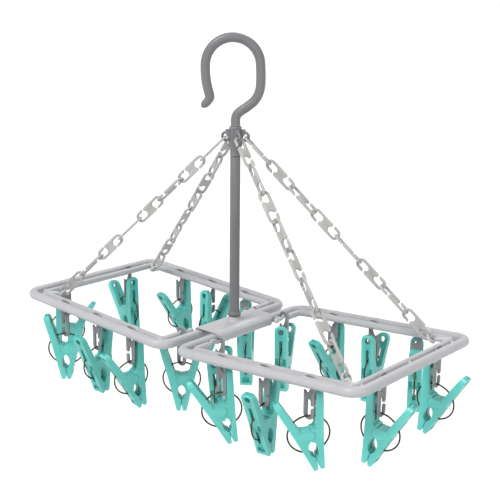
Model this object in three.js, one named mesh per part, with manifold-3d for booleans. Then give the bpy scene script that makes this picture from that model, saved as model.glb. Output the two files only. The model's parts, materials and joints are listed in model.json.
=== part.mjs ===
// Folding clip drying hanger: a swivelling hook and a pole carry a centre bracket, two double-rail
// frame halves fold up about their inner bars, four link chains hold them, and twenty sprung pegs
// hang from the rails on flat hook links. Millimetres, +Z up, +X along the hanger.
// The origin is where a clothes rail touches the inside of the hook's crown.
import * as THREE from 'three';
import { mergeVertices } from 'three/addons/utils/BufferGeometryUtils.js';
import Module from 'manifold-3d';

const wasm = await Module();
wasm.setup();

// ---- driving dimensions; heights are above the axes of the inner bars -----------------------
const HALF_LENGTH = 245;        // pole axis to the outer bar's axis
const HALF_WIDTH = 105;         // to the long rails' axes
const BAR_OFFSET = 11.5;        // pole axis to each inner bar's axis
const RISE_ANGLE = THREE.MathUtils.degToRad(3.5);   // each half slopes up from the bracket
const OUTER_RAIL_R = 5.3;
const INNER_RAIL_R = 3.9;
const RAIL_SPACING = 13;        // outer rail axis to inner rail axis
const OUTER_CORNER_R = 15;
const INNER_CORNER_R = 6;
const PIN_R = 1.6;              // cross pins that the hook links hang on

const LONG_STATIONS = [58.5, 116, 173.5];   // peg stations along a long rail, from the inner bar
const END_STATION = 52;         // peg stations on the outer bar, either side of its middle
const ARCH_STATION = 62;        // small arch on each inner bar
const ROD_STATION = 51;         // second peg station on each inner bar
const ARCH_RISE = 3;
const ROD_END = 45;             // the inner bar's inner rod stops here with a knob

const BRACKET_LENGTH = 96;
const BRACKET_WALL = 2.2;
const BAR_CLEARANCE = 0.5;
const BRACKET_TOP = OUTER_RAIL_R + BAR_CLEARANCE + BRACKET_WALL;

const POLE_R = 5.4;
const POLE_NECK_R = 4.3;        // where the pole goes into the collar
const POLE_BOTTOM = 9;
const POLE_TOP = 218;
const BORE_R = POLE_R + 0.3;
const COLLAR_BORE_R = POLE_NECK_R + 0.3;
const COLLAR_BOTTOM = 198.5;
const COLLAR_TOP = 231;
const LUG_HEIGHT = 220;
const LUG_REACH = 10.5;
const LUG_TURN = THREE.MathUtils.degToRad(35);
const EYE_R = 4.5;              // eye rings that the chain ends hook into
const EYE_WIRE_R = 1.6;

const HOOK_ROD_R = 5.4;
const CROOK_R = 30.4;
const CROOK_CENTRE = 297;
const CROOK_SHIFT = -3.2;       // the crook's middle is this far from the pole's axis
const HOOK_TURN = THREE.MathUtils.degToRad(40.8);
const CROWN_CONTACT = CROOK_CENTRE + CROOK_R - HOOK_ROD_R;

const LINKS_PER_SEGMENT = [3, 2, 3];
const LINK_WIDTH = 13;
const LINK_THICKNESS = 2.2;
const LINK_BAR = 2.6;           // thickness of a link's end bar and sides
const EAR = { x: 202.5, y: 78, z: 2 };      // eye centre, in the frame half's own axes

const STRAP_WIDTH = 13;
const STRAP_THICKNESS = 2.2;
const PIN_TO_RING_TOP = 36.8;
const RING_RX = 21.3;
const RING_RZ = 19.2;
const RING_WIRE_R = 0.9;
const RING_HALF_SWEEP = THREE.MathUtils.degToRad(146);
const HANDLE_HEIGHT = 43.5;
const JAW_DEPTH = 37;
const JAW_WIDTH = 15;

const GAP = 0.3;

// ---- materials ------------------------------------------------------------------------------
const COLOURS = {
  rail: [0xcbcbd0, 0.45], grey: [0x97979b, 0.45], chain: [0xbdbab2, 0.5],
  peg: [0x5cc4b4, 0.4], strap: [0x8f9296, 0.5],
};

function material(kind) {
  const [color, roughness] = COLOURS[kind];
  return new THREE.MeshStandardMaterial({ color, roughness, metalness: 0 });
}

// ---- geometry helpers -----------------------------------------------------------------------
function solid(geometry) {
  const bare = geometry.clone();
  bare.deleteAttribute('normal');
  bare.deleteAttribute('uv');
  const merged = mergeVertices(bare, 1e-4);
  return new wasm.Manifold(new wasm.Mesh({
    numProp: 3,
    vertProperties: new Float32Array(merged.attributes.position.array),
    triVerts: new Uint32Array(merged.index.array),
  }));
}

function toGeometry(body) {
  const mesh = body.getMesh();
  const geometry = new THREE.BufferGeometry();
  geometry.setAttribute('position', new THREE.BufferAttribute(mesh.vertProperties, 3));
  geometry.setIndex(new THREE.BufferAttribute(mesh.triVerts, 1));
  geometry.computeVertexNormals();
  return geometry;
}

function union(geometries) {
  return geometries.map(solid).reduce((a, b) => a.add(b));
}

// A route through chosen stations, so that straight stretches cost no extra rings.
class Route extends THREE.Curve {
  constructor(stations) {
    super();
    this.stations = stations;
  }

  getPoint(t) {
    const last = this.stations.length - 1;
    const place = Math.min(Math.max(t, 0), 1) * last;
    const i = Math.min(Math.floor(place), last - 1);
    return this.stations[i].clone().lerp(this.stations[i + 1], place - i);
  }

  getPointAt(t) {
    return this.getPoint(t);
  }

  getTangentAt(t) {
    const last = this.stations.length - 1;
    const i = Math.round(t * last);
    const before = this.stations[Math.max(i - 1, 0)];
    const here = this.stations[i];
    const after = this.stations[Math.min(i + 1, last)];
    const into = here.clone().sub(before).normalize();
    const out = after.clone().sub(here).normalize();
    return into.add(out).normalize();
  }
}

function disc(radius, sides) {
  const shape = new THREE.Shape();
  for (let i = 0; i < sides; i += 1) {
    const a = ((i + 0.5) / sides) * Math.PI * 2;
    const point = [radius * Math.cos(a), radius * Math.sin(a)];
    if (i === 0) shape.moveTo(...point);
    else shape.lineTo(...point);
  }
  shape.closePath();
  return shape;
}

function rod(stations, radius, sides) {
  return new THREE.ExtrudeGeometry(disc(radius, sides), {
    steps: stations.length - 1, extrudePath: new Route(stations),
  });
}

// A flat piece cut from an outline in the X-Z plane, its thickness centred on Y.
function plate(outline, thickness) {
  const shape = new THREE.Shape(outline.map(([x, z]) => new THREE.Vector2(x, z)));
  const geometry = new THREE.ExtrudeGeometry(shape, { depth: thickness, bevelEnabled: false });
  geometry.translate(0, 0, -thickness / 2);
  geometry.rotateX(Math.PI / 2);
  return geometry;
}

function turned(profile, sides) {
  const points = profile.map(([r, z]) => new THREE.Vector2(r, z));
  const geometry = new THREE.LatheGeometry(points, sides);
  geometry.rotateX(Math.PI / 2);
  return geometry;
}

function boxAt(size, centre) {
  const geometry = new THREE.BoxGeometry(...size);
  geometry.translate(...centre);
  return geometry;
}

// The corner arcs of a rounded rectangle, as stations in the X-Y plane.
function cornerArc(cx, cy, radius, from, steps) {
  const points = [];
  for (let i = 0; i <= steps; i += 1) {
    const a = from + (i / steps) * (Math.PI / 2);
    points.push(new THREE.Vector3(cx + radius * Math.cos(a), cy + radius * Math.sin(a), 0));
  }
  return points;
}

// A closed round rail along a rounded rectangle: a torus whose rings are moved onto the loop.
function closedRail(x0, x1, halfWidth, corner, radius, sides) {
  const loop = [
    ...cornerArc(x1 - corner, halfWidth - corner, corner, 0, 3),
    ...cornerArc(x0 + corner, halfWidth - corner, corner, Math.PI / 2, 3),
    ...cornerArc(x0 + corner, -halfWidth + corner, corner, Math.PI, 3),
    ...cornerArc(x1 - corner, -halfWidth + corner, corner, -Math.PI / 2, 3),
  ];
  const count = loop.length;
  const geometry = new THREE.TorusGeometry(1, 1, sides, count);
  const position = geometry.attributes.position;
  for (let i = 0; i < position.count; i += 1) {
    const ring = i % (count + 1) % count;
    const around = (Math.floor(i / (count + 1)) % sides / sides) * Math.PI * 2;
    const here = loop[ring];
    const into = here.clone().sub(loop[(ring + count - 1) % count]).normalize();
    const out = loop[(ring + 1) % count].clone().sub(here).normalize();
    const along = into.clone().add(out).normalize();
    const spread = radius / Math.max(along.dot(out), 0.5);
    const side = new THREE.Vector3(along.y, -along.x, 0);
    position.setXYZ(
      i,
      here.x + side.x * spread * Math.cos(around),
      here.y + side.y * spread * Math.cos(around),
      radius * Math.sin(around),
    );
  }
  return geometry;
}

// ---- placing in the two halves --------------------------------------------------------------
// A point in a half's own axes (x from the inner bar outwards) to the pole's axes.
function inHalf(x, y, z) {
  const c = Math.cos(RISE_ANGLE);
  const s = Math.sin(RISE_ANGLE);
  return new THREE.Vector3(BAR_OFFSET + x * c - z * s, y, x * s + z * c);
}

const HALF_SPAN = (HALF_LENGTH - BAR_OFFSET) / Math.cos(RISE_ANGLE);
const GAP_MIDDLE = (OUTER_RAIL_R + RAIL_SPACING - INNER_RAIL_R) / 2;   // rail axis to pin middle

// ---- hook -----------------------------------------------------------------------------------
function hookRoute() {
  const points = [[-33, 253], [-29, 260.5], [-28.6, 264], [-30.6, 271.5], [-32.8, 283]];
  for (let i = 0; i <= 8; i += 1) {
    const a = Math.PI - (i / 8) * Math.PI;
    points.push([CROOK_SHIFT + CROOK_R * Math.cos(a), CROOK_CENTRE + CROOK_R * Math.sin(a)]);
  }
  points.push([27.2, 279], [25.5, 268.3], [20.8, 259.6], [13, 252.4], [5.6, 246.6]);
  points.push([1.4, 241.5], [0, 236]);
  return points.map(([x, z]) => new THREE.Vector3(x, 0, z));
}

function hookGeometry() {
  const smooth = new THREE.CatmullRomCurve3(hookRoute(), false, 'centripetal');
  const stations = smooth.getSpacedPoints(27);
  const crook = rod(stations, HOOK_ROD_R, 8);
  const stem = turned([
    [0, 219.5], [4.3, 219.5], [4.3, 226.7], [3.1, 226.7], [3.1, COLLAR_TOP + GAP],
    [HOOK_ROD_R, COLLAR_TOP + GAP], [HOOK_ROD_R, 236.5], [0, 236.5],
  ], 12);
  return toGeometry(union([crook, stem]));
}

// ---- pole and collar ------------------------------------------------------------------------
function poleGeometry() {
  return turned([
    [0, POLE_BOTTOM], [POLE_R, POLE_BOTTOM], [POLE_R, 13.2], [7, 13.2], [7.6, 14.4],
    [7.6, 17], [7, 18.2], [POLE_R, 18.2], [POLE_R, COLLAR_BOTTOM - GAP],
    [POLE_NECK_R, COLLAR_BOTTOM - GAP], [POLE_NECK_R, POLE_TOP], [0, POLE_TOP],
  ], 16);
}

function lugPlaces() {
  const places = [];
  for (const [name, turn] of [
    ['right_back', LUG_TURN], ['left_back', Math.PI - LUG_TURN],
    ['left_front', Math.PI + LUG_TURN], ['right_front', -LUG_TURN],
  ]) {
    const centre = new THREE.Vector3(
      LUG_REACH * Math.cos(turn), LUG_REACH * Math.sin(turn), LUG_HEIGHT,
    );
    places.push({ name, centre });
  }
  return places;
}

function eyeCentre(name) {
  const ear = inHalf(EAR.x, EAR.y, EAR.z);
  const sideX = name.startsWith('left') ? -1 : 1;
  const sideY = name.endsWith('front') ? -1 : 1;
  return new THREE.Vector3(ear.x * sideX, ear.y * sideY, ear.z);
}

// The straight line of a chain: direction, sideways and upward unit vectors.
function chainLine(lug) {
  const eye = eyeCentre(lug.name);
  const along = eye.clone().sub(lug.centre).normalize();
  const across = new THREE.Vector3(0, 0, 1).cross(along).normalize();
  const up = along.clone().cross(across).normalize();
  return { start: lug.centre, end: eye, along, across, up };
}

function eyeRing(centre, normal) {
  const ring = new THREE.TorusGeometry(EYE_R, EYE_WIRE_R, 5, 8);
  ring.applyQuaternion(
    new THREE.Quaternion().setFromUnitVectors(new THREE.Vector3(0, 0, 1), normal),
  );
  ring.translate(centre.x, centre.y, centre.z);
  return ring;
}

function collarGeometry() {
  const body = solid(turned([
    [0, COLLAR_BOTTOM], [5.8, COLLAR_BOTTOM], [5.9, 206.4], [6.4, 207.4], [6.4, 227.5],
    [6.9, 228], [6.9, 230.4], [6.5, COLLAR_TOP], [0, COLLAR_TOP],
  ], 16));
  const bore = solid(turned([
    [0, COLLAR_BOTTOM - 1], [COLLAR_BORE_R, COLLAR_BOTTOM - 1], [COLLAR_BORE_R, 227],
    [3.4, 227], [3.4, COLLAR_TOP + 1], [0, COLLAR_TOP + 1],
  ], 16));
  const eyes = lugPlaces().map((lug) => {
    const line = chainLine(lug);
    return solid(eyeRing(lug.centre, line.across));
  });
  return toGeometry(eyes.reduce((a, b) => a.add(b), body).subtract(bore));
}

// ---- centre bracket -------------------------------------------------------------------------
function bracketGeometry() {
  const inner = OUTER_RAIL_R + BAR_CLEARANCE;
  const outer = inner + BRACKET_WALL;
  const wrap = THREE.MathUtils.degToRad(-48);
  const steps = 6;
  const arc = (radius, from, to) => Array.from({ length: steps + 1 }, (_, i) => {
    const a = from + ((to - from) * i) / steps;
    return [BAR_OFFSET + radius * Math.cos(a), radius * Math.sin(a)];
  });
  const right = [...arc(inner, Math.PI / 2, wrap), ...arc(outer, wrap, Math.PI / 2)];
  const left = right.map(([x, z]) => [-x, z]).reverse();
  const saddle = plate([...right, ...left], BRACKET_LENGTH);
  const rib = boxAt([10, 60, inner + 4], [0, 0, (inner - 4) / 2 + 0.5]);
  const socket = turned([
    [0, BRACKET_TOP - 1], [8.6, BRACKET_TOP - 1], [7.4, BRACKET_TOP + 1.6], [7.2, 12.6], [0, 12.6],
  ], 16);
  const bore = turned([[0, POLE_BOTTOM - GAP], [BORE_R, POLE_BOTTOM - GAP], [BORE_R, 20], [0, 20]], 16);
  return toGeometry(union([saddle, rib, socket]).subtract(solid(bore)));
}

// ---- frame halves, in their own axes: x from the inner bar's axis outwards ------------------
function innerRailRoutes() {
  const x0 = RAIL_SPACING;
  const x1 = HALF_SPAN - RAIL_SPACING;
  const w = HALF_WIDTH - RAIL_SPACING;
  const r = INNER_CORNER_R;
  const archEnd = ARCH_STATION + 6;
  return [
    new THREE.Vector3(x0, archEnd, 0),
    ...cornerArc(x0 + r, w - r, r, Math.PI / 2, 2).reverse(),
    ...cornerArc(x1 - r, w - r, r, 0, 2).reverse(),
    ...cornerArc(x1 - r, -w + r, r, -Math.PI / 2, 2).reverse(),
    ...cornerArc(x0 + r, -w + r, r, Math.PI, 2).reverse(),
    new THREE.Vector3(x0, -archEnd, 0),
  ];
}

// The thin end of the inner rail on the inner bar: an arch, a straight rod and a knob.
function archedRod(side) {
  const x = RAIL_SPACING;
  const at = (y, z) => new THREE.Vector3(x, side * y, z);
  return [
    rod([
      at(ARCH_STATION + 8, 0), at(ARCH_STATION + 4.5, 1), at(ARCH_STATION + 3, ARCH_RISE),
      at(ARCH_STATION - 3, ARCH_RISE), at(ARCH_STATION - 5, 0), at(ROD_END + 2, 0),
    ], PIN_R, 6),
    rod([at(ROD_END + 3, 0), at(ROD_END, 0)], 3.2, 8),
    rod([
      new THREE.Vector3(0, side * (ARCH_STATION - 5.5), 0),
      new THREE.Vector3(x, side * (ARCH_STATION - 5.5), 0),
    ], 2, 6),
  ];
}

function crossPin(x, y, alongX, radius) {
  const reach = RAIL_SPACING / 2;
  const [dx, dy] = alongX ? [reach, 0] : [0, reach];
  const from = new THREE.Vector3(x - dx, y - dy, 0);
  const to = new THREE.Vector3(x + dx, y + dy, 0);
  return rod([from, to], radius, 5);
}

function earArm(side) {
  const corner = new THREE.Vector3(
    HALF_SPAN - RAIL_SPACING - 2, side * (HALF_WIDTH - RAIL_SPACING - 2), 0,
  );
  const eye = new THREE.Vector3(EAR.x, side * EAR.y, EAR.z);
  const towards = corner.clone().sub(eye).normalize();
  return rod([eye.addScaledVector(towards, EYE_R - 0.4), corner], 2.4, 6);
}

function frameGeometry() {
  const pieces = [
    closedRail(0, HALF_SPAN, HALF_WIDTH, OUTER_CORNER_R, OUTER_RAIL_R, 8),
    rod(innerRailRoutes(), INNER_RAIL_R, 6),
  ];
  const midGap = HALF_WIDTH - RAIL_SPACING / 2;
  const endGap = HALF_SPAN - RAIL_SPACING / 2;
  for (const side of [1, -1]) {
    for (const x of LONG_STATIONS) pieces.push(crossPin(x, side * midGap, false, PIN_R));
    pieces.push(crossPin(15, side * midGap, false, 2), crossPin(214, side * midGap, false, 2));
    pieces.push(crossPin(endGap, side * END_STATION, true, PIN_R));
    pieces.push(crossPin(endGap, side * 84, true, 2));
    pieces.push(...archedRod(side), earArm(side));
    const lug = lugPlaces().find(({ name }) => name === (side > 0 ? 'right_back' : 'right_front'));
    const line = chainLine(lug);
    const eye = new THREE.Vector3(EAR.x, side * EAR.y, EAR.z);
    const normal = line.up.clone().applyAxisAngle(new THREE.Vector3(0, 1, 0), RISE_ANGLE);
    pieces.push(eyeRing(eye, normal));
  }
  pieces.push(crossPin(endGap, 0, true, 2));
  return toGeometry(union(pieces));
}

// ---- chains ---------------------------------------------------------------------------------
// One S-shaped link in the X-Z plane, its length along Z: two end hooks, each open at one side.
function linkOutline(length) {
  const h = length / 2;
  const w = LINK_WIDTH / 2;
  const inner = w - LINK_BAR;
  const upper = [
    [w, 3.5], [inner - 1.2, 6], [-inner, 6], [-inner, h - LINK_BAR], [inner, h - LINK_BAR],
    [inner, 11], [w, 10], [w, h - 3], [w - 3, h], [-w + 3, h], [-w, h - 3],
  ];
  return [...upper, ...upper.map(([x, z]) => [-x, -z])];
}

// Links joined into stiff segments: neighbours share a sliver inside one, and keep a gap between.
function chainSegments(lug) {
  const line = chainLine(lug);
  const span = line.start.distanceTo(line.end) - 2 * EYE_R;
  const fused = 2 * LINK_BAR - 0.2;
  const apart = 2 * LINK_BAR + GAP;
  const ends = 2 * (LINK_BAR + GAP + EYE_WIRE_R);
  const total = LINKS_PER_SEGMENT.reduce((a, b) => a + b, 0);
  const joints = LINKS_PER_SEGMENT.length - 1;
  const length = (span + (total - 1 - joints) * fused + joints * apart + ends) / total;
  const firstPin = line.start.clone().addScaledVector(line.along, EYE_R);
  const frames = [
    new THREE.Matrix4().makeBasis(line.across, line.up, line.along),
    new THREE.Matrix4().makeBasis(line.up, line.across.clone().negate(), line.along),
  ];
  let place = length / 2 - LINK_BAR - GAP - EYE_WIRE_R;
  let index = 0;
  return LINKS_PER_SEGMENT.map((count, segment) => {
    const links = [];
    for (let i = 0; i < count; i += 1) {
      const link = plate(linkOutline(length), LINK_THICKNESS);
      link.applyMatrix4(frames[index % 2]);
      const centre = firstPin.clone().addScaledVector(line.along, place);
      link.translate(centre.x, centre.y, centre.z);
      links.push(link);
      index += 1;
      place += length - (i < count - 1 ? fused : apart);
    }
    return { name: `chain_${lug.name}_${['upper', 'middle', 'lower'][segment]}`, links };
  });
}

// ---- pegs, in axes with the pivot at the origin, X the way the jaws spread and Z up ---------
// One jaw and its handle on the +X side.
function jawOutline() {
  return [
    [0.4, -JAW_DEPTH], [5.4, -JAW_DEPTH], [10.8, -14.2], [15, 2.2],
    [25.4, HANDLE_HEIGHT - 3.5], [24.2, HANDLE_HEIGHT - 0.6], [20.8, HANDLE_HEIGHT],
    [18.8, HANDLE_HEIGHT - 2.2], [7.6, 6.4], [1.8, 4.4], [0.4, 0], [0.4, -7.5],
    [3.6, -11], [3.6, -17], [0.4, -21.5],
  ];
}

function freeJaw() {
  const jaw = solid(plate(jawOutline(), JAW_WIDTH));
  const handleSlot = solid(boxAt([26, 4, 19], [15, 0, 16.5]));
  const jawSlot = solid(boxAt([14, 4, 15], [7, 0, -13.5]));
  return jaw.subtract(handleSlot).subtract(jawSlot);
}

function ringSpring() {
  const stations = [];
  const steps = 10;
  for (let i = 0; i <= steps; i += 1) {
    const a = -RING_HALF_SWEEP + (2 * RING_HALF_SWEEP * i) / steps;
    stations.push(new THREE.Vector3(RING_RX * Math.sin(a), 0, RING_RZ * Math.cos(a)));
  }
  const low = stations[0].z - 1;
  stations.unshift(new THREE.Vector3(-6, 0, low));
  stations.push(new THREE.Vector3(6, 0, low));
  return rod(stations, RING_WIRE_R, 4);
}

// The flat hook link in the X-Z plane, its upper hook around the pin at the origin.
function strapOutline() {
  const w = STRAP_WIDTH / 2;
  const foot = PIN_TO_RING_TOP + RING_WIRE_R - 0.3;
  return [
    [-w, 2], [-w + 3, 5.2], [w - 3, 5.2], [w, 2], [w, -2], [2.3, -2], [2.3, 2.2], [-2.3, 2.2],
    [-2.3, -6.5], [w, -6.5], [w, -foot], [w - 3, -foot - 3.4], [-w + 3, -foot - 3.4],
    [-w, -foot], [-w, -foot + 3.2], [-2.3, -foot + 3.2], [-2.3, -foot], [2.3, -foot],
    [2.3, -foot + 7.5], [-w, -foot + 7.5],
  ];
}

// Peg places in one half: station in the half's axes, the strap's turn, and for each half the
// turn of the peg about the vertical and its lean towards the free jaw, in degrees.
const MID_GAP = HALF_WIDTH - GAP_MIDDLE;
const END_GAP = HALF_SPAN - GAP_MIDDLE;
const [NEAR, MIDDLE, FAR] = LONG_STATIONS;
const PEGS = [
  { half: 'right', name: 'front_1', at: [NEAR, -MID_GAP, 0], strap: 0, turn: 225, lean: 19 },
  { half: 'right', name: 'front_2', at: [MIDDLE, -MID_GAP, 0], strap: 0, turn: 275, lean: 8 },
  { half: 'right', name: 'front_3', at: [FAR, -MID_GAP, 0], strap: 0, turn: 228, lean: 17 },
  { half: 'right', name: 'end_1', at: [END_GAP, -END_STATION, 0], strap: 90, turn: 7, lean: 17 },
  { half: 'right', name: 'end_2', at: [END_GAP, END_STATION, 0], strap: 90, turn: 5, lean: 17 },
  { half: 'right', name: 'back_1', at: [NEAR, MID_GAP, 0], strap: 0, turn: 265, lean: 17 },
  { half: 'right', name: 'back_2', at: [MIDDLE, MID_GAP, 0], strap: 0, turn: 99, lean: 12 },
  { half: 'right', name: 'back_3', at: [FAR, MID_GAP, 0], strap: 0, turn: 120, lean: 0 },
  { half: 'right', name: 'arch', at: [RAIL_SPACING, ARCH_STATION, ARCH_RISE], strap: 0, turn: 115, lean: 12 },
  { half: 'right', name: 'rod', at: [RAIL_SPACING, -ROD_STATION, 0], strap: 0, turn: 115, lean: 0 },
  { half: 'left', name: 'front_1', at: [NEAR, MID_GAP, 0], strap: 0, turn: 255, lean: 17 },
  { half: 'left', name: 'front_2', at: [MIDDLE, MID_GAP, 0], strap: 0, turn: 271, lean: 8 },
  { half: 'left', name: 'front_3', at: [FAR, MID_GAP, 0], strap: 0, turn: 41, lean: 0 },
  { half: 'left', name: 'end_1', at: [END_GAP, END_STATION, 0], strap: 90, turn: 41, lean: 17 },
  { half: 'left', name: 'end_2', at: [END_GAP, -END_STATION, 0], strap: 90, turn: 175, lean: 17 },
  { half: 'left', name: 'back_1', at: [NEAR, -MID_GAP, 0], strap: 0, turn: 125, lean: 0 },
  { half: 'left', name: 'back_2', at: [MIDDLE, -MID_GAP, 0], strap: 0, turn: 85, lean: 17 },
  { half: 'left', name: 'back_3', at: [FAR, -MID_GAP, 0], strap: 0, turn: 265, lean: 17 },
  { half: 'left', name: 'arch', at: [RAIL_SPACING, ARCH_STATION, ARCH_RISE], strap: 0, turn: 41, lean: 0 },
  { half: 'left', name: 'rod', at: [RAIL_SPACING, -ROD_STATION, 0], strap: 0, turn: 125, lean: 0 },
];

// The pivot hangs straight below the pin; a leaning peg has slid round its ring in the hook.
function pegMatrix(peg) {
  const lean = THREE.MathUtils.degToRad(peg.lean);
  const radius = 1 / Math.hypot(Math.sin(lean) / RING_RX, Math.cos(lean) / RING_RZ);
  const drop = new THREE.Vector3(0, 0, -PIN_TO_RING_TOP - radius);
  return new THREE.Matrix4().makeTranslation(drop)
    .multiply(new THREE.Matrix4().makeRotationZ(THREE.MathUtils.degToRad(peg.turn)))
    .multiply(new THREE.Matrix4().makeRotationY(lean));
}

function pegMeshes(peg) {
  const place = pegMatrix(peg);
  const strap = plate(strapOutline(), STRAP_THICKNESS);
  strap.rotateZ(THREE.MathUtils.degToRad(peg.strap));
  const ring = ringSpring();
  ring.applyMatrix4(place);
  const free = toGeometry(freeJaw());
  free.applyMatrix4(place);
  const hung = plate(jawOutline(), JAW_WIDTH);
  hung.rotateZ(Math.PI);
  hung.applyMatrix4(place);
  const hungJaw = new THREE.Mesh(toGeometry(union([hung, ring, strap])), material('peg'));
  hungJaw.name = `peg_${peg.half}_${peg.name}_hung_jaw`;
  const freeMesh = new THREE.Mesh(free, material('peg'));
  freeMesh.name = `peg_${peg.half}_${peg.name}_free_jaw`;
  const pin = inHalf(...peg.at);
  const group = new THREE.Group();
  group.position.copy(peg.half === 'left' ? new THREE.Vector3(-pin.x, -pin.y, pin.z) : pin);
  group.add(hungJaw, freeMesh);
  return group;
}

// ---- assembly -------------------------------------------------------------------------------
function named(name, geometry, kind) {
  const mesh = new THREE.Mesh(geometry, material(kind));
  mesh.name = name;
  return mesh;
}

function frameHalf(name) {
  const half = new THREE.Group();
  const frame = named(name, frameGeometry(), 'rail');
  frame.position.x = BAR_OFFSET;
  frame.rotation.y = -RISE_ANGLE;
  half.add(frame);
  if (name === 'frame_left') half.rotation.z = Math.PI;
  return half;
}

const hanger = new THREE.Group();
hanger.name = 'clip_drying_hanger';
hanger.position.set(
  -CROOK_SHIFT * Math.cos(HOOK_TURN), -CROOK_SHIFT * Math.sin(HOOK_TURN), -CROWN_CONTACT,
);

const hook = named('hook', hookGeometry(), 'grey');
hook.rotation.z = HOOK_TURN;
hanger.add(hook);
hanger.add(named('top_collar', collarGeometry(), 'grey'));
hanger.add(named('pole', poleGeometry(), 'grey'));
hanger.add(named('centre_bracket', bracketGeometry(), 'rail'));
hanger.add(frameHalf('frame_left'), frameHalf('frame_right'));
for (const lug of lugPlaces()) {
  for (const { name, links } of chainSegments(lug)) {
    hanger.add(named(name, toGeometry(union(links)), 'chain'));
  }
}
for (const peg of PEGS) hanger.add(pegMeshes(peg));

export default hanger;
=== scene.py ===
"""Visual model of the clip drying hanger, in metres, in the frame of its CAD model.

Pieces are built in millimetres and placed from the pole's axis at the height of the inner bars'
axes. new_object bakes each one into the row frame, and finish_piece puts it on its body.
"""
import bpy
import bmesh
import json
import math
from mathutils import Matrix, Vector


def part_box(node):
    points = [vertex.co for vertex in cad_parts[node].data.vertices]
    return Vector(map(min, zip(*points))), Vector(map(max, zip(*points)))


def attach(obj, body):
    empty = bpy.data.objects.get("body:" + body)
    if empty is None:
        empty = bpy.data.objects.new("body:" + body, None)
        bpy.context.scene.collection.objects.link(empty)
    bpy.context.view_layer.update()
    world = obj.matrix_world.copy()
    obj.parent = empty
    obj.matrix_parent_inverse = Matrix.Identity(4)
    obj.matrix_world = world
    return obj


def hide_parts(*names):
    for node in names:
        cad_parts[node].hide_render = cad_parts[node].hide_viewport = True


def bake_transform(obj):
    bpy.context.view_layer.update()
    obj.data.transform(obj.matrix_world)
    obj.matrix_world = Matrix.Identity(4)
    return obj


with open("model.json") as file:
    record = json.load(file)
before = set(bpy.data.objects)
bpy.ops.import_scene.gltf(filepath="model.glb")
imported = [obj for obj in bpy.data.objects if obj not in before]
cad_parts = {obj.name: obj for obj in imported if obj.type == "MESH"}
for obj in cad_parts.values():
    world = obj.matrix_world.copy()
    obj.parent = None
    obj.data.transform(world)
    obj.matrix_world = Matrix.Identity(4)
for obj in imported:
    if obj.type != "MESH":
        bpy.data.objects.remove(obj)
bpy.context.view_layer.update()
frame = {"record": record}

MM = 0.001
rad = math.radians
joints = {j["name"]: j for j in frame["record"]["behaviour"]["joints"]}

# ---- design dimensions, in millimetres and degrees ------------------------------------------
HALF_LENGTH, HALF_WIDTH, BAR_OFFSET = 245.0, 105.0, 11.5
RISE = rad(3.5)
OUTER_R, INNER_R, RAIL_SPACING = 5.3, 3.9, 13.0
OUTER_CORNER_R, INNER_CORNER_R = 15.0, 6.0
HALF_SPAN = (HALF_LENGTH - BAR_OFFSET) / math.cos(RISE)
LONG_STATIONS = (58.5, 116.0, 173.5)
BRIDGE_STATIONS = (15, 87, 145, 214)
END_STATION, END_BRIDGE_STATION = 52.0, 84.0
PIN_R, BRIDGE_R = 1.6, 2.0
INNER_RAIL_END = 70.0
KNOB_STATION, KNOB_R = 48.0, 3.1
ROD_BRIDGE_STATION = 56.5
EAR = (202.5, 78.0, 2.0)

HOOK_R, CROOK_R, CROOK_CENTRE, CROOK_SHIFT = 5.3, 30.05, 297.0, -3.2
HOOK_TURN = rad(40.8)
LUG_HEIGHT, LUG_REACH, LUG_TURN = 220.0, 10.5, rad(35)
EYE_R, EYE_WIRE = 4.5, 1.6
BRACKET_LENGTH, BRACKET_INNER_R, BRACKET_OUTER_R = 96.0, 5.8, 8.0
# The bracket's edges reach this far round the bars, measured from level.
BRACKET_WRAP = -48

LINKS_PER_CHAIN = 8
LINK_WIDTH, LINK_BAR, LINK_THICKNESS = 13.0, 3.0, 2.6
LINK_TWISTS = (-9, 7, 12, -6, -12, 8, 5, -8)

STRAP_WIDTH, STRAP_THICKNESS, PIN_TO_RING = 13.0, 2.2, 36.8
RING_RX, RING_RZ, RING_WIRE, RING_HALF_SWEEP = 21.3, 19.2, 0.9, 146
JAW_WIDTH, JAW_TIP, JAW_MIDDLE = 15.0, -36.97, 14
JOINT_GAP, KNUCKLE_R, SEAT_R = 0.15, 5.4, 5.65

# How far each peg has slid round its ring, in degrees, towards its free jaw.
LEANS = {
    "right_front_1": 19, "right_front_2": 8, "right_front_3": 17,
    "right_end_1": 17, "right_end_2": 17,
    "right_back_1": 17, "right_back_2": 12, "right_back_3": 0,
    "right_arch": 12, "right_rod": 0,
    "left_front_1": 17, "left_front_2": 8, "left_front_3": 0,
    "left_end_1": 17, "left_end_2": 17,
    "left_back_1": 0, "left_back_2": 17, "left_back_3": 17,
    "left_arch": 0, "left_rod": 0,
}
# The pegs whose hook links hang the other way round.
FLIPPED = {"right_front_1", "left_front_3", "left_front_1", "left_end_1", "right_back_2"}

# The camera's place is in millimetres from the pole's axis at the bars, its angles in degrees.
CAMERA_PLACE = (733.3, -827.7, 365.1)
VIEW_AZIMUTH, VIEW_ELEVATION, VIEW_ROLL = -49.3577, 13.922, 0.5908
LENS, SENSOR = 72.31, 36

# The floor's height and half size, in metres.
FLOOR_HEIGHT, FLOOR_HALF_SIZE = -0.8, 150.0

# The pole's axis at the height of the inner bars' axes, in the row frame.
pole_low, pole_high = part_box("pole")
base = Vector((
    (pole_low.x + pole_high.x) / 2,
    (pole_low.y + pole_high.y) / 2,
    joints["fold_right"]["pos_m"][2],
))
TO_ROW = Matrix.Translation(base) @ Matrix.Scale(MM, 4)


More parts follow.
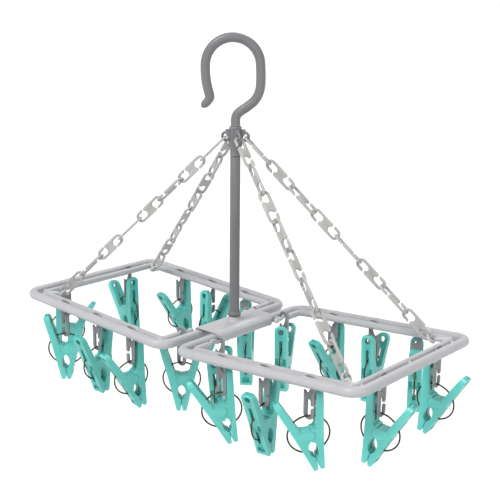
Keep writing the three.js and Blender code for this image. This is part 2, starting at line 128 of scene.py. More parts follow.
# ---- routes and outlines --------------------------------------------------------------------
def arc(centre_x, centre_z, radius_x, radius_z, start, step, count):
    """Points round an ellipse, from the angle start on, each step degrees after the last."""
    angles = [rad(start + step * i) for i in range(count)]
    return [
        (centre_x + radius_x * math.cos(a), centre_z + radius_z * math.sin(a)) for a in angles
    ]


def stadium(half, low, high):
    """An upright slot with round ends."""
    return (
        arc(0, low + half, half, half, 180, 22.5, 9) + arc(0, high - half, half, half, 0, 22.5, 9)
    )


def rounded(outline, radius, steps=4):
    """Rounds the corners of a closed 2-D outline."""
    result = []
    count = len(outline)
    for i, corner_point in enumerate(outline):
        c = Vector(corner_point)
        a = Vector(outline[i - 1]) - c
        b = Vector(outline[(i + 1) % count]) - c
        room = min(radius, a.length * 0.45, b.length * 0.45)
        if room < 1e-3:
            result.append(c)
            continue
        start, end = c + a.normalized() * room, c + b.normalized() * room
        for k in range(steps + 1):
            t = k / steps
            result.append((1 - t) ** 2 * start + 2 * t * (1 - t) * c + t * t * end)
    return result


def smooth_route(points, per_span=6):
    """A Catmull-Rom curve through points."""
    points = [Vector(p) for p in points]
    points = [points[0] * 2 - points[1]] + points + [points[-1] * 2 - points[-2]]
    result = []
    for p0, p1, p2, p3 in zip(points, points[1:], points[2:], points[3:]):
        for k in range(per_span):
            t = k / per_span
            result.append(0.5 * (
                2 * p1 + (p2 - p0) * t + (2 * p0 - 5 * p1 + 4 * p2 - p3) * t * t
                + (3 * p1 - p0 - 3 * p2 + p3) * t ** 3
            ))
    result.append(points[-2].copy())
    return result


def dome(radius, steps):
    """How far a domed end reaches past its rod, and how thick it is there, at each station."""
    angles = [rad(84) * i / steps for i in range(1, steps + 1)]
    return [(radius * math.sin(a), radius * math.cos(a)) for a in angles]


def round_ends(points, radius, steps=5, end=True):
    """The stations and radii of a rod with a domed start and, unless told not to, a domed end."""
    points = [Vector(p) for p in points]
    radii = [radius] * len(points)
    if end:
        along = (points[-1] - points[-2]).normalized()
        tip = points[-1].copy()
        for reach, thickness in dome(radius, steps):
            points.append(tip + along * reach)
            radii.append(thickness)
    along = (points[0] - points[1]).normalized()
    tip = points[0].copy()
    for reach, thickness in dome(radius, steps):
        points.insert(0, tip + along * reach)
        radii.insert(0, thickness)
    return points, radii


# ---- mesh helpers ---------------------------------------------------------------------------
def new_object(name, bm, matrix=Matrix.Identity(4), sharp_angle=40):
    """An object from bm, moved by matrix and baked into the row frame, with its edges crisp."""
    bmesh.ops.transform(bm, matrix=TO_ROW @ matrix, verts=bm.verts)
    bmesh.ops.recalc_face_normals(bm, faces=bm.faces)
    mesh = bpy.data.meshes.new(name)
    bm.to_mesh(mesh)
    bm.free()
    for polygon in mesh.polygons:
        polygon.use_smooth = True
    mesh.set_sharp_from_angle(angle=rad(sharp_angle))
    obj = bpy.data.objects.new(name, mesh)
    bpy.context.scene.collection.objects.link(obj)
    return obj


def frames_along(points, closed):
    """A side and an up vector at each point of a route, turning as little as possible."""
    count = len(points)
    tangents = []
    for i in range(count):
        before = points[i - 1] if i or closed else points[0]
        after = points[(i + 1) % count] if i < count - 1 or closed else points[-1]
        tangents.append((after - before).normalized())
    side = tangents[0].orthogonal().normalized()
    result = []
    for tangent in tangents:
        side = (side - tangent * side.dot(tangent)).normalized()
        result.append((side, tangent.cross(side)))
    return result


def sweep(bm, points, radii, sides=20, closed=False):
    """A round rod through points, of one radius or one for each point, with closed ends."""
    points = [Vector(p) for p in points]
    if not hasattr(radii, "__len__"):
        radii = [radii] * len(points)
    rings = []
    for point, radius, (side, up) in zip(points, radii, frames_along(points, closed)):
        ring = []
        for k in range(sides):
            a = 2 * math.pi * k / sides
            offset = side * math.cos(a) + up * math.sin(a)
            ring.append(bm.verts.new(point + offset * radius))
        rings.append(ring)
    pairs = list(zip(rings, rings[1:]))
    if closed:
        # the last ring meets the first one at the turn where they line up best
        shift = min(range(sides), key=lambda s: (rings[-1][0].co - rings[0][s].co).length)
        pairs.append((rings[-1], rings[0][shift:] + rings[0][:shift]))
    for a, b in pairs:
        for k in range(sides):
            bm.faces.new((a[k], a[(k + 1) % sides], b[(k + 1) % sides], b[k]))
    if not closed:
        bm.faces.new(list(reversed(rings[0])))
        bm.faces.new(rings[-1])


def lathe(bm, profile, sides=48):
    """A turned solid round Z. The profile runs from the axis back to the axis."""
    rings = []
    for r, z in profile:
        if r == 0:
            rings.append([bm.verts.new((0, 0, z))])
            continue
        circle = arc(0, 0, r, r, 0, 360 / sides, sides)
        rings.append([bm.verts.new((x, y, z)) for x, y in circle])
    for a, b in zip(rings, rings[1:]):
        for k in range(sides):
            n = (k + 1) % sides
            if len(a) == 1:
                bm.faces.new((a[0], b[n], b[k]))
            elif len(b) == 1:
                bm.faces.new((a[k], a[n], b[0]))
            else:
                bm.faces.new((a[k], a[n], b[n], b[k]))


def plate(outline, thickness, plane="XZ", centre=0.0):
    """A flat piece cut from a 2-D outline, with its thickness along the third axis."""
    def place(p, depth):
        if plane == "XZ":
            return (p[0], depth, p[1])
        if plane == "YZ":
            return (depth, p[0], p[1])
        return (p[0], p[1], depth)

    bm = bmesh.new()
    near = [bm.verts.new(place(p, centre - thickness / 2)) for p in outline]
    far = [bm.verts.new(place(p, centre + thickness / 2)) for p in outline]
    bm.faces.new(near)
    bm.faces.new(list(reversed(far)))
    for i in range(len(outline)):
        n = (i + 1) % len(outline)
        bm.faces.new((near[n], near[i], far[i], far[n]))
    return bm


def bevel_rims(bm, width, segments):
    """Rounds every edge that is sharper than 50 degrees."""
    bmesh.ops.recalc_face_normals(bm, faces=bm.faces)
    edges = [e for e in bm.edges if len(e.link_faces) == 2 and e.calc_face_angle(0) > rad(50)]
    bmesh.ops.bevel(
        bm, geom=edges, offset=width, segments=segments, profile=0.5, affect="EDGES",
        clamp_overlap=True,
    )


def add(bm, extra):
    """Puts another closed shell into bm."""
    mesh = bpy.data.meshes.new("shell")
    extra.to_mesh(mesh)
    extra.free()
    bm.from_mesh(mesh)
    bpy.data.meshes.remove(mesh)


def boolean(target, cutter, operation):
    """target with cutter cut away or kept in common. It uses both of them up."""
    objects = []
    for bm in (target, cutter):
        bmesh.ops.recalc_face_normals(bm, faces=bm.faces)
        mesh = bpy.data.meshes.new("work")
        bm.to_mesh(mesh)
        bm.free()
        obj = bpy.data.objects.new("work", mesh)
        bpy.context.scene.collection.objects.link(obj)
        objects.append(obj)
    modifier = objects[0].modifiers.new("boolean", "BOOLEAN")
    modifier.operation = operation
    modifier.solver = "EXACT"
    modifier.object = objects[1]
    evaluated = objects[0].evaluated_get(bpy.context.evaluated_depsgraph_get())
    result = bmesh.new()
    result.from_mesh(evaluated.to_mesh())
    evaluated.to_mesh_clear()
    for obj in objects:
        mesh = obj.data
        bpy.data.objects.remove(obj)
        bpy.data.meshes.remove(mesh)
    return result


# ---- materials ------------------------------------------------------------------------------
def new_material(name):
    """A material with its node tree and its shader."""
    material = bpy.data.materials.new(name)
    material.use_nodes = True
    return material, material.node_tree, material.node_tree.nodes["Principled BSDF"]


def new_node(tree, kind, inputs):
    """A shader node whose named inputs are set to values or linked to other nodes' outputs."""
    node = tree.nodes.new(kind)
    for name, value in inputs.items():
        if isinstance(value, bpy.types.NodeSocket):
            tree.links.new(value, node.inputs[name])
        else:
            node.inputs[name].default_value = value
    return node


def mix_colours(tree, factor, a, b):
    """A blend of a and b, each of them a colour or another node's output."""
    node = tree.nodes.new("ShaderNodeMix")
    node.data_type = "RGBA"
    tree.links.new(factor, node.inputs["Factor"])
    for name, colour in (("A", a), ("B", b)):
        if isinstance(colour, bpy.types.NodeSocket):
            tree.links.new(colour, node.inputs[name])
        else:
            node.inputs[name].default_value = (*colour, 1)
    return node.outputs["Result"]


def noise(tree, where, scale, detail=2.0, roughness=0.5):
    """The output of a noise texture."""
    inputs = {"Scale": scale, "Detail": detail, "Roughness": roughness, "Vector": where}
    return new_node(tree, "ShaderNodeTexNoise", inputs).outputs["Fac"]


def moulded(name, low, high, wear, roughness=(0.34, 0.5), subsurface=0.0):
    """Moulded plastic: slow colour drift, a fine satin grain, flow lines, paler rubbed edges."""
    material, tree, shader = new_material(name)
    where = tree.nodes.new("ShaderNodeTexCoord").outputs["Object"]

    drift = mix_colours(tree, noise(tree, where, 38, 3), low, high)
    edge = new_node(tree, "ShaderNodeMapRange", {
        "From Min": 0.52, "From Max": 0.6,
        "Value": tree.nodes.new("ShaderNodeNewGeometry").outputs["Pointiness"],
    })
    colour = mix_colours(tree, edge.outputs["Result"], drift, wear)
    tree.links.new(colour, shader.inputs["Base Color"])

    satin = new_node(tree, "ShaderNodeMapRange", {
        "From Min": 0.3, "From Max": 0.7, "To Min": roughness[0], "To Max": roughness[1],
        "Value": noise(tree, where, 160, 4, 0.6),
    })
    tree.links.new(satin.outputs["Result"], shader.inputs["Roughness"])

    grain = new_node(tree, "ShaderNodeBump", {
        "Strength": 0.12, "Distance": 0.0002, "Height": noise(tree, where, 900, 3, 0.6),
    })
    flow = new_node(tree, "ShaderNodeBump", {
        "Strength": 0.096, "Distance": 0.0006, "Height": noise(tree, where, 110, 2),
        "Normal": grain.outputs["Normal"],
    })
    tree.links.new(flow.outputs["Normal"], shader.inputs["Normal"])
    shader.inputs["IOR"].default_value = 1.49
    if subsurface:
        shader.inputs["Subsurface Weight"].default_value = subsurface
        shader.inputs["Subsurface Radius"].default_value = (0.6, 1.0, 0.9)
        shader.inputs["Subsurface Scale"].default_value = 0.0025
    return material


def spring_wire(name):
    """Oiled spring wire: dark brass-brown, with scratches and duller, darker patches."""
    material, tree, shader = new_material(name)
    where = tree.nodes.new("ShaderNodeTexCoord").outputs["Object"]
    patches = noise(tree, where, 160, 5)
    ramp = new_node(tree, "ShaderNodeValToRGB", {"Fac": patches})
    dark, light = ramp.color_ramp.elements
    dark.position, dark.color = 0.35, (0.022, 0.02, 0.016, 1)
    light.position, light.color = 0.68, (0.13, 0.1, 0.055, 1)
    tree.links.new(ramp.outputs["Color"], shader.inputs["Base Color"])
    dull = new_node(tree, "ShaderNodeMapRange", {"To Min": 0.42, "To Max": 0.24, "Value": patches})
    tree.links.new(dull.outputs["Result"], shader.inputs["Roughness"])
    grain = new_node(tree, "ShaderNodeBump", {
        "Strength": 0.15, "Distance": 0.0001, "Height": noise(tree, where, 1400),
    })
    tree.links.new(grain.outputs["Normal"], shader.inputs["Normal"])
    shader.inputs["Metallic"].default_value = 0.9
    return material


RAIL = moulded("rail_grey", (0.345, 0.345, 0.36), (0.40, 0.40, 0.415), (0.50, 0.50, 0.51))
GREY = moulded("hook_grey", (0.13, 0.133, 0.14), (0.158, 0.161, 0.168), (0.21, 0.213, 0.22))
POLE = moulded("pole_grey", (0.108, 0.112, 0.115), (0.132, 0.136, 0.139), (0.19, 0.194, 0.197))
STRAP = moulded("link_grey", (0.15, 0.152, 0.16), (0.19, 0.192, 0.2), (0.27, 0.272, 0.28))
CHAIN = moulded(
    "chain_grey", (0.29, 0.286, 0.275), (0.38, 0.374, 0.36), (0.50, 0.495, 0.48),
    roughness=(0.38, 0.55),
)
PEG = moulded(
    "peg_turquoise", (0.02, 0.262, 0.23), (0.034, 0.335, 0.298), (0.12, 0.52, 0.47),
    roughness=(0.28, 0.42), subsurface=0.1,
)
WIRE = spring_wire("spring_wire")


def finish_piece(obj, material, slot, body, *nodes):
    """Dresses a piece, hides the CAD nodes it stands for and puts it on its body, if it has one."""
    obj.data.materials.append(material)
    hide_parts(*nodes)
    if body:
        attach(obj, body)


# ---- hook -----------------------------------------------------------------------------------
def make_hook():
    nub = [(-33.6, 255.4), (-31.2, 257.6)]
    route = [(-28.8, 261), (-28.5, 264.5), (-30.4, 271.5), (-32.6, 283)]
    route += arc(CROOK_SHIFT, CROOK_CENTRE, CROOK_R, CROOK_R, 180, -18, 11)
    route += [(27.2, 279), (25.5, 268.3), (20.8, 259.6), (13, 252.8), (6.2, 248.2)]
    route += [(1.5, 243.8), (0, 239), (0, 235), (0, 231.4)]
    line = smooth_route([(x, 0, z) for x, z in route])
    points, radii = round_ends([(x, 0, z) for x, z in nub] + line, HOOK_R, end=False)
    # the rod thins towards the nub at its tip
    for i in range(9):
        radii[i] *= 0.62 + 0.045 * i
    bm = bmesh.new()
    sweep(bm, points, radii, 28)
    # the mould's parting line, a low bead along both faces of the crook
    for side in (1, -1):
        bead = [p + Vector((0, side * (HOOK_R - 0.12), 0)) for p in line[4:-6]]
        sweep(bm, bead, 0.3, 6)
    # the stem, with the groove that turns in the collar
    lathe(bm, [
        (0, 219.8), (3.9, 219.8), (4.3, 220.2), (4.3, 226.2), (3.9, 226.6), (3.1, 226.6),
        (3.1, 231.35), (4.9, 231.35), (5.4, 231.8), (5.45, 233), (0, 233),
    ], 32)
    turn = Matrix.Rotation(HOOK_TURN, 4, "Z")
    finish_piece(new_object("hook_rod", bm, turn), GREY, "grey_plastic", "hook", "hook")


# ---- pole and collar ------------------------------------------------------------------------
def make_pole():
    bm = bmesh.new()
    lathe(bm, [
        (0, 9), (5.0, 9), (5.4, 9.4), (5.4, 12.6), (5.7, 12.9), (6.8, 13.3), (7.4, 14), (7.6, 15),
        (7.6, 16.4), (7.4, 17.3), (6.8, 17.9), (6.0, 18.2), (5.75, 18.6), (5.75, 100),
        (5.7, 197.6), (5.3, 198.1), (4.3, 198.1), (4.3, 217.6), (3.9, 218), (0, 218),
    ])
    # the parting line down both faces
    for side in (1, -1):
        sweep(bm, [(0, side * 5.66, 20 + 4.4 * i) for i in range(41)], 0.26, 6)
    finish_piece(new_object("pole_tube", bm), POLE, "grey_plastic", "mast", "pole")


# The direction of each chain's lug from the pole's axis.
LUGS = {
    "right_back": LUG_TURN, "left_back": math.pi - LUG_TURN,
    "left_front": math.pi + LUG_TURN, "right_front": -LUG_TURN,
}


def chain_line(name):
    """A chain's two ends, and the directions along it, across it and up from it."""
    turn = LUGS[name]
    start = Vector((LUG_REACH * math.cos(turn), LUG_REACH * math.sin(turn), LUG_HEIGHT))
    x, y, z = EAR
    end = Vector((
        BAR_OFFSET + x * math.cos(RISE) - z * math.sin(RISE),
        y,
        x * math.sin(RISE) + z * math.cos(RISE),
    ))
    end.x *= -1 if name.startswith("left") else 1
    end.y *= -1 if name.endswith("front") else 1
    along = (end - start).normalized()
    across = Vector((0, 0, 1)).cross(along).normalized()
    return start, end, along, across, along.cross(across)


def eye_ring(bm, centre, normal):
    """A round eye about centre, lying square to normal."""
    side = normal.orthogonal().normalized()
    up = normal.cross(side)
    circle = arc(0, 0, EYE_R, EYE_R, 0, 360 / 28, 28)
    sweep(bm, [centre + side * x + up * y for x, y in circle], EYE_WIRE, 12, closed=True)


def make_collar():
    bm = bmesh.new()
    lathe(bm, [
        (0, 198.5), (5.6, 198.5), (6.0, 198.9), (6.05, 205.8), (6.1, 206.3), (6.3, 206.7),
        (6.4, 207.2), (6.4, 227.2), (6.5, 227.7), (6.85, 228.1), (6.9, 228.6), (6.9, 230.2),
        (6.75, 230.7), (6.4, 231), (3.4, 231), (3.4, 230.4), (0, 230.4),
    ])
    for name, turn in LUGS.items():
        start, _, _, across, _ = chain_line(name)
        eye_ring(bm, start, across)
        # a rib carries each eye down the collar
        out = Vector((math.cos(turn), math.sin(turn), 0))
        rib = [out * 6.3 + Vector((0, 0, z)) for z in (226.6, 223, 218, 213, 210)]
        points, radii = round_ends(rib, 1.35)
        sweep(bm, points, radii, 10)
        # a square-shouldered tab stands above the eye
        outline = [(5.6, 219), (8.4, 219), (11.2, 223.4), (11.2, 228), (5.6, 228)]
        tab = plate(rounded(outline, 0.9), 3.2)
        bevel_rims(tab, 0.4, 2)
        bmesh.ops.transform(tab, matrix=Matrix.Rotation(turn, 4, "Z"), verts=tab.verts)
        add(bm, tab)
    # the two halves of the collar meet along a fine seam, front and back
    for side in (1, -1):
        sweep(bm, [(0, side * 6.36, 208 + 2 * i) for i in range(10)], 0.22, 6)
    finish_piece(new_object("collar", bm), GREY, "grey_plastic", "mast", "top_collar")


# ---- centre bracket -------------------------------------------------------------------------
def make_bracket():
    """A saddle wrapped over both inner bars, with a socket for the pole and a rib beneath."""
    step = (90 - BRACKET_WRAP) / 14
    inner_r, outer_r = BRACKET_INNER_R, BRACKET_OUTER_R
    right = arc(BAR_OFFSET, 0, inner_r, inner_r, 90, -step, 15)
    right += arc(BAR_OFFSET, 0, outer_r, outer_r, BRACKET_WRAP, step, 15)
    left = [(-x, z) for x, z in reversed(right)]
    bm = plate(right + left, BRACKET_LENGTH)
    bevel_rims(bm, 0.7, 3)
    # the corners of the top are rounded off in plan
    x, y = 20.5, BRACKET_LENGTH / 2 + 0.2
    plan = rounded([(-x, -y), (x, -y), (x, y), (-x, y)], 9, 8)
    bm = boolean(bm, plate(plan, 40.0, "XY"), "INTERSECT")
    lathe(bm, [
        (0, 6.4), (9.6, 6.4), (9.5, 8.1), (8.7, 8.6), (8.0, 9.4), (7.5, 10.6), (7.3, 11.6),
        (7.1, 12.3), (6.7, 12.6), (5.75, 12.6), (5.75, 11.8), (0, 11.8),
    ])
    rib = rounded([(-4.8, -3.6), (4.8, -3.6), (4.8, 6.2), (-4.8, 6.2)], 1.2)
    add(bm, plate(rib, 60.0))
    finish_piece(new_object("saddle", bm), RAIL, "rail_plastic", "mast", "centre_bracket")


# ---- frame halves, built with the inner bar's axis at x = 0 ---------------------------------
RAIL_X0, RAIL_X1 = RAIL_SPACING, HALF_SPAN - RAIL_SPACING
RAIL_Y = HALF_WIDTH - RAIL_SPACING
LONG_MID = HALF_WIDTH - RAIL_SPACING / 2
END_MID = HALF_SPAN - RAIL_SPACING / 2


def corner(x, y, radius, start):
    """A quarter turn round the corner whose centre is x, y, anticlockwise from start."""
    return [Vector((*p, 0)) for p in arc(x, y, radius, radius, start, 10, 10)]


def add_rails(bm):
    """The outer rail, a closed loop, and the inner rail, which is open beside the bracket."""
    w, r = HALF_WIDTH - OUTER_CORNER_R, OUTER_CORNER_R
    loop = corner(HALF_SPAN - r, w, r, 0) + corner(r, w, r, 90)
    loop += corner(r, -w, r, 180) + corner(HALF_SPAN - r, -w, r, -90)
    sweep(bm, loop, OUTER_R, 28, closed=True)
    w, r = RAIL_Y - INNER_CORNER_R, INNER_CORNER_R
    # the inner rail stops short on both sides of the bracket
    end = Vector((RAIL_X0, INNER_RAIL_END, 0))
    next_to_end = Vector((RAIL_X0, INNER_RAIL_END + 3, 0))
    mirror = Matrix.Diagonal((1, -1, 1))
    rail = [end, next_to_end]
    for x, y, start in (
        (RAIL_X0 + r, w, 90), (RAIL_X1 - r, w, 0), (RAIL_X1 - r, -w, -90), (RAIL_X0 + r, -w, 180),
    ):
        rail += reversed(corner(x, y, r, start))
    rail += [mirror @ next_to_end, mirror @ end]
    points, radii = round_ends(rail, INNER_R)
    sweep(bm, points, radii, 24)


def add_bridge(bm, x, y, along_x, radius):
    """A pin from rail to rail, which swells where it meets them."""
    half = RAIL_SPACING / 2
    d = Vector((half, 0, 0)) if along_x else Vector((0, half, 0))
    at = Vector((x, y, 0))
    line = [at + d * t for t in (-1, -0.45, -0.2, 0, 0.2, 0.45, 1)]
    sweep(bm, line, [radius * t for t in (1.5, 1.2, 1, 1, 1, 1.2, 1.5)], 14)


def add_pads(bm, x, side):
    """Low pads beside a pin, one on each rail."""
    for y, rail_r in ((HALF_WIDTH, OUTER_R), (RAIL_Y, INNER_R)):
        pad = [
            (x + dx, side * y, rail_r - 0.55 + rise)
            for dx, rise in ((-5, -0.7), (-3.4, 0), (0, 0.12), (3.4, 0), (5, -0.7))
        ]
        points, radii = round_ends(smooth_route(pad, 4), 1.0, 4)
        sweep(bm, points, radii, 10)


def add_rail_end(bm, side):
    """The arch, thin rod and knob that end the inner rail, with a bridge to the outer rail."""
    arch = [(71, 0), (67, 0.2), (65.4, 2.0), (64, 2.9), (62, 3.05), (60, 2.9), (58.4, 2.0)]
    arch += [(57, 0.3), (54, 0), (47, 0)]
    line = smooth_route([(RAIL_X0, side * y, z) for y, z in arch], 5)
    sweep(bm, line, PIN_R, 14)
    knob = [(RAIL_X0, side * KNOB_STATION, 0), (RAIL_X0, side * (KNOB_STATION - 1.4), 0)]
    points, radii = round_ends(knob, KNOB_R)
    sweep(bm, points, radii, 18)
    y = side * ROD_BRIDGE_STATION
    sweep(bm, [(0, y, 0), (4, y, 0), (RAIL_X0, y, 0)], [2.6, 2.0, 2.0], 14)


def add_chain_eye(bm, side):
    """The eye that a chain ends on, with its arm to the rail's corner."""
    eye = Vector((EAR[0], side * EAR[1], EAR[2]))
    target = Vector((RAIL_X1 - 2, side * (RAIL_Y - 2), 0))
    towards = (target - eye).normalized()
    normal = chain_line("right_back" if side > 0 else "right_front")[4].copy()
    normal.rotate(Matrix.Rotation(RISE, 3, "Y"))
    eye_ring(bm, eye, normal)
    arm = [eye + towards * (EYE_R + d) for d in (-0.4, 1.5, 4)] + [target]
    sweep(bm, arm, [1.9, 2.2, 2.5, 3.0], 14)


def make_frame(name):
    bm = bmesh.new()
    add_rails(bm)
    for side in (1, -1):
        for x in LONG_STATIONS:
            add_bridge(bm, x, side * LONG_MID, False, PIN_R)
            add_pads(bm, x, side)
        for x in BRIDGE_STATIONS:
            add_bridge(bm, x, side * LONG_MID, False, BRIDGE_R)
        add_bridge(bm, END_MID, side * END_STATION, True, PIN_R)
        add_bridge(bm, END_MID, side * END_BRIDGE_STATION, True, BRIDGE_R)
        add_rail_end(bm, side)
        add_chain_eye(bm, side)
    add_bridge(bm, END_MID, 0, True, BRIDGE_R)
    place = Matrix.Translation((BAR_OFFSET, 0, 0)) @ Matrix.Rotation(-RISE, 4, "Y")
    if name == "left":
        place = Matrix.Rotation(math.pi, 4, "Z") @ place
    obj = new_object(f"rails_{name}", bm, place)
    finish_piece(obj, RAIL, "rail_plastic", f"half_{name}", f"frame_{name}")


# ---- chains ---------------------------------------------------------------------------------
def link_outline(length):
    """An S-shaped link: two round end hooks, each closed but for a narrow slanting slit."""
    w = LINK_WIDTH / 2
    hollow, end_centre = w - LINK_BAR, length / 2 - w
    upper = [(w, 5.8), (4.5, 7.4)]
    upper += arc(0, 8.6, hollow, hollow, -22, -19.75, 9)
    upper += arc(0, end_centre, hollow, hollow, 180, -15, 13)
    upper += [(hollow, 10.6), (4.3, 9.7), (w, 8.2)]
    upper += arc(0, end_centre, w, w, 0, 15, 13)
    return upper + [(-x, -z) for x, z in upper]


def make_chain(name):
    """Flat links, each turned a quarter from the last, from the collar's eye to the frame's."""
    start, end, along, across, up = chain_line(name)
    # links hook bar against bar, so each adds its length less two bars
    eye_hole = EYE_R - EYE_WIRE
    length = ((end - start).length - 2 * eye_hole) / LINKS_PER_CHAIN + 2 * LINK_BAR
    first = eye_hole - LINK_BAR + length / 2
    bases = [
        Matrix(axes).transposed().to_4x4() for axes in ((across, up, along), (up, -across, along))
    ]
    stretches = ["upper"] * 3 + ["middle"] * 2 + ["lower"] * 3
    for i, (stretch, twist) in enumerate(zip(stretches, LINK_TWISTS)):
        bm = plate(link_outline(length), LINK_THICKNESS)
        bevel_rims(bm, 0.55, 3)
        centre = start + along * (first + i * (length - 2 * LINK_BAR))
        # each link hangs a little out of true
        place = Matrix.Translation(centre) @ bases[i % 2] @ Matrix.Rotation(rad(twist), 4, "Z")
        obj = new_object(f"link_{name}_{i + 1}", bm, place)
        finish_piece(obj, CHAIN, "chain_plastic", None, f"chain_{name}_{stretch}")
        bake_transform(obj)


# ---- pegs -----------------------------------------------------------------------------------
def jaw_side_view(knuckle):
    """A jaw and its handle from the side: the outside first, then the joint, hole and teeth."""
    outline = [
        (1.5, JAW_TIP), (5.0, JAW_TIP), (5.6, -36.2), (10.8, -14.2), (15, 2.2), (25.2, 39.6),
        (24.6, 42.2), (22.6, 43.4), (20.4, 43.1), (19, 41.4), (8.4, 9.2), (7.4, 7.0), (5.8, 6.2),
    ]
    if knuckle:
        outline.append((4.4, 6.0))
        outline += arc(0, 0, KNUCKLE_R, KNUCKLE_R, 76, 18, 11)
        outline.append((JOINT_GAP, -5.6))
    else:
        outline += [(3.6, 6.3), (2.6, 6.0)]
        outline += arc(0, 0, SEAT_R, SEAT_R, 64, -14, 11)
        outline.append((JOINT_GAP, -6.0))
    outline += arc(JOINT_GAP, -14.6, 4.5, 8.6, 76, -16, 11)
    for z in (-24.6, -26.2, -27.8, -29.4, -31.0):
        outline += [(JOINT_GAP, z), (0.5, z - 0.8)]
    return rounded(outline, 0.9, 3)


def jaw_mesh(knuckle):
    """One jaw and its handle on the +X side of the pivot, with its slots, eye and recesses.

    The jaws turn on each other: one carries a round knuckle and the other its seat.
    """
    w = JAW_WIDTH / 2
    bm = plate(jaw_side_view(knuckle), JAW_WIDTH + 0.6)
    # from the front it is round at the top and a little narrower at the tip
    front = [(-7.0, -38), (7.0, -38), (w, -34), (w, 34)]
    front += arc(0, 36, w, 7.4, 0, 15, 13) + [(-w, 34), (-w, -34)]
    bm = boolean(bm, plate(front, 40, "YZ", JAW_MIDDLE), "INTERSECT")
    # two slots for the ring, and the eye near the top
    for half, low, high, depth in ((1.9, 8.5, 25.5, 40), (1.9, -22, -6, 40), (3.3, 32.2, 39.2, 60)):
        cutter = plate(stadium(half, low, high), depth, "YZ", JAW_MIDDLE)
        bm = boolean(bm, cutter, "DIFFERENCE")
    # shallow recesses in the outer face, either side of the slots and across the tip
    tilt = Matrix.Rotation(0.9 * math.atan2(25.2 - 15, 39.6 - 2.2), 4, "Y")
    for y, low, high, half, depth in (
        (4.7, -4, 3, 1.5, 14.2), (-4.7, -4, 3, 1.5, 14.2), (0, -32, -27, 3.8, 6.8),
    ):
        box = [(y - half, low), (y + half, low), (y + half, high), (y - half, high)]
        cutter = plate(rounded(box, 0.6), 3.0, "YZ", depth + 0.6)
        middle = Matrix.Translation((depth, 0, (low + high) / 2))
        bmesh.ops.transform(cutter, matrix=middle @ tilt @ middle.inverted(), verts=cutter.verts)
        bm = boolean(bm, cutter, "DIFFERENCE")
    bmesh.ops.remove_doubles(bm, verts=bm.verts, dist=0.01)
    bmesh.ops.dissolve_degenerate(bm, edges=bm.edges, dist=0.01)
    mesh = bpy.data.meshes.new("jaw")
    bm.to_mesh(mesh)
    bm.free()
    return mesh


def ring_route():
    """The ring spring: an oval, open at the bottom, with a short straight foot at each end."""
    start = 90 + RING_HALF_SWEEP
    oval = arc(0, 0, RING_RX, RING_RZ, start, -2 * RING_HALF_SWEEP / 40, 41)
    low = oval[0][1]
    foot = [(-6.2, low - 1.1), (-8.2, low - 1.15), (-10.3, low - 0.9)]
    points = foot + oval + [(-x, z) for x, z in reversed(foot)]
    return smooth_route([(x, 0, z) for x, z in points], 2)


def strap_outline():
    """The flat hook link: a hook over the pin, open on the left, and one for the ring below."""
    foot = -(PIN_TO_RING + 0.7)
    w = STRAP_WIDTH / 2
    # down the right side, to the mouth of the lower hook
    points = [(w, 1.0), (w, foot + 13.2), (5.4, foot + 11.6), (3.3, foot + 11.0)]
    # the long slot over the ring, then the lower hook's tip and its round foot
    points.append((2.2, foot + 12.2))
    points += arc(0, foot + 15.6, 2.1, 2.1, 0, 30, 7)
    points += arc(0, foot + 1.9, 2.2, 2.2, 180, 30, 7)
    points += [(2.3, foot + 7.2), (3.4, foot + 8.8), (5.2, foot + 9.2), (w, foot + 7.8)]
    points += arc(0, foot + 3.0, w, 6.3, -15, -15, 11)
    # up the left side to the horn, down into the notch and round the seat on the pin
    points += [(-w, foot + 3.2), (-w, -10.8), (-5.6, -11.2), (-2.6, -13.8), (-0.4, -12.0)]
    points += [(1.2, -8.0), (2.1, -3.0)]
    points += arc(0, 0.1, 2.4, 2.4, 0, 22.5, 9)
    points += [(-2.5, -1.6), (-3.6, -2.6), (-5.8, -2.4), (-w, -0.6), (-w, 1.4), (-4.9, 4.0)]
    return points + [(-2.4, 4.9), (2.4, 4.9), (4.9, 4.0)]


def make_peg(key, lean, jaws, ring_line, outline):
    """A peg's two jaws, its ring spring and its hook link, placed by the peg's two joints."""
    body = f"peg_{key}"
    hung_node = f"{body}_hung_jaw"
    swing, opening = joints[f"{body}_swing"], joints[f"{body}_open"]
    pin = (Vector(swing["pos_m"]) - base) / MM
    pivot = (Vector(opening["pos_m"]) - base) / MM
    across = -Vector(opening["axis"])
    turn = Matrix.Rotation(math.atan2(-across.x, across.y), 4, "Z")
    place = Matrix.Translation(pivot) @ turn @ Matrix.Rotation(rad(lean), 4, "Y")
    for part, ride_on, about in (("free_jaw", f"{body}_jaw", 0), ("hung_jaw", body, math.pi)):
        bm = bmesh.new()
        bm.from_mesh(jaws[part])
        side = place @ Matrix.Rotation(about, 4, "Z")
        obj = new_object(f"{body}_{part}_piece", bm, side, 30)
        finish_piece(obj, PEG, "peg_plastic", ride_on, f"{body}_{part}")

    bm = bmesh.new()
    sweep(bm, ring_line, RING_WIRE, 12)
    finish_piece(new_object(f"{body}_ring", bm, place), WIRE, "peg_plastic", body, hung_node)

    bm = plate(outline, STRAP_THICKNESS)
    bevel_rims(bm, 0.4, 2)
    # the link lies square to its pin
    pin_along_y = abs(swing["axis"][1]) > 0.5
    facing = (0 if pin_along_y else math.pi / 2) + (math.pi if key in FLIPPED else 0)
    hang = Matrix.Translation(pin) @ Matrix.Rotation(facing, 4, "Z")
    finish_piece(new_object(f"{body}_link", bm, hang), STRAP, "grey_plastic", body, hung_node)


def make_pegs():
    jaws = {"free_jaw": jaw_mesh(knuckle=True), "hung_jaw": jaw_mesh(knuckle=False)}
    ring_line = ring_route()
    outline = strap_outline()
    for key, lean in LEANS.items():
        make_peg(key, lean, jaws, ring_line, outline)


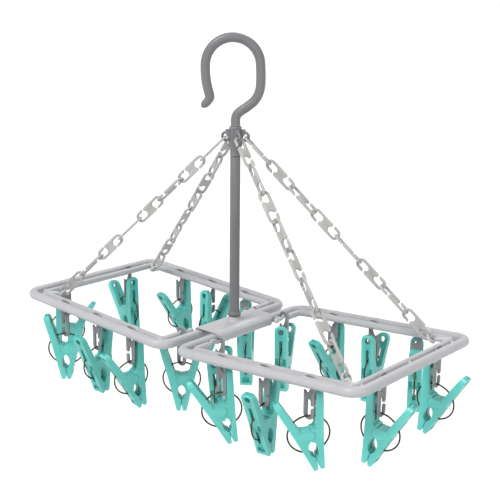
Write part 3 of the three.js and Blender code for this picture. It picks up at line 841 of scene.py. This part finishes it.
# ---- floor, light and camera ----------------------------------------------------------------
def make_floor():
    steps = 8
    cell = 2 * FLOOR_HALF_SIZE / steps
    bm = bmesh.new()
    verts = [
        bm.verts.new((cell * i - FLOOR_HALF_SIZE, cell * j - FLOOR_HALF_SIZE, FLOOR_HEIGHT))
        for i in range(steps + 1) for j in range(steps + 1)
    ]
    for i in range(steps):
        for j in range(steps):
            a = i * (steps + 1) + j
            bm.faces.new([verts[k] for k in (a, a + steps + 1, a + steps + 2, a + 1)])
    mesh = bpy.data.meshes.new("floor")
    bm.to_mesh(mesh)
    bm.free()
    floor = bpy.data.objects.new("floor", mesh)
    bpy.context.scene.collection.objects.link(floor)
    material, tree, shader = new_material("floor_white")
    tone = new_node(tree, "ShaderNodeTexNoise", {"Scale": 3}).outputs["Fac"]
    colour = mix_colours(tree, tone, (0.80, 0.80, 0.80), (0.83, 0.83, 0.83))
    tree.links.new(colour, shader.inputs["Base Color"])
    shader.inputs["Roughness"].default_value = 1.0
    shader.inputs["Specular IOR Level"].default_value = 0.0
    floor.data.materials.append(material)


def make_world():
    """A white studio: bright round the horizon, dimmer overhead."""
    world = bpy.data.worlds.new("studio")
    bpy.context.scene.world = world
    world.use_nodes = True
    tree = world.node_tree
    where = tree.nodes.new("ShaderNodeTexCoord").outputs["Generated"]
    height = new_node(tree, "ShaderNodeSeparateXYZ", {"Vector": where}).outputs["Z"]
    strength = new_node(tree, "ShaderNodeMapRange", {
        "From Min": 0.1, "From Max": 0.45, "To Min": 1.0, "To Max": 0.42, "Value": height,
    })
    background = tree.nodes["Background"]
    background.inputs["Color"].default_value = (1, 1, 1, 1)
    tree.links.new(strength.outputs["Result"], background.inputs["Strength"])


def direction(azimuth, elevation):
    """The unit vector towards an azimuth and an elevation, in degrees."""
    a, e = rad(azimuth), rad(elevation)
    return Vector((math.cos(e) * math.cos(a), math.cos(e) * math.sin(a), math.sin(e)))


def make_lights():
    """A soft key from the camera's left, a weak fill from its right and a rim from behind."""
    for name, azimuth, elevation, power, width in (
        ("key", -100, 52, 2.7, 28), ("fill", -10, 35, 0.7, 50), ("rim", 110, 48, 0.9, 30),
    ):
        light = bpy.data.lights.new(name, "SUN")
        light.energy = power
        light.angle = rad(width)
        lamp = bpy.data.objects.new(name, light)
        towards = direction(azimuth, elevation)
        lamp.location = towards * 2
        lamp.rotation_euler = (-towards).to_track_quat("-Z", "Y").to_euler()
        bpy.context.scene.collection.objects.link(lamp)
    bpy.context.scene.view_settings.view_transform = "Standard"


def make_camera():
    """The view of the photograph."""
    data = bpy.data.cameras.new("camera")
    data.lens = LENS
    data.sensor_width = SENSOR
    data.clip_end = 500
    camera = bpy.data.objects.new("camera", data)
    back = direction(VIEW_AZIMUTH, VIEW_ELEVATION)
    level = direction(VIEW_AZIMUTH + 90, 0)
    right = level * math.cos(rad(VIEW_ROLL)) + back.cross(level) * math.sin(rad(VIEW_ROLL))
    turn = Matrix((right, back.cross(right), back)).transposed().to_4x4()
    camera.matrix_world = Matrix.Translation(TO_ROW @ Vector(CAMERA_PLACE)) @ turn
    bpy.context.scene.collection.objects.link(camera)
    bpy.context.scene.camera = camera


make_camera()
make_floor()
make_world()
make_lights()
make_hook()
make_pole()
make_collar()
make_bracket()
for half_name in ("left", "right"):
    make_frame(half_name)
for chain_name in LUGS:
    make_chain(chain_name)
make_pegs()
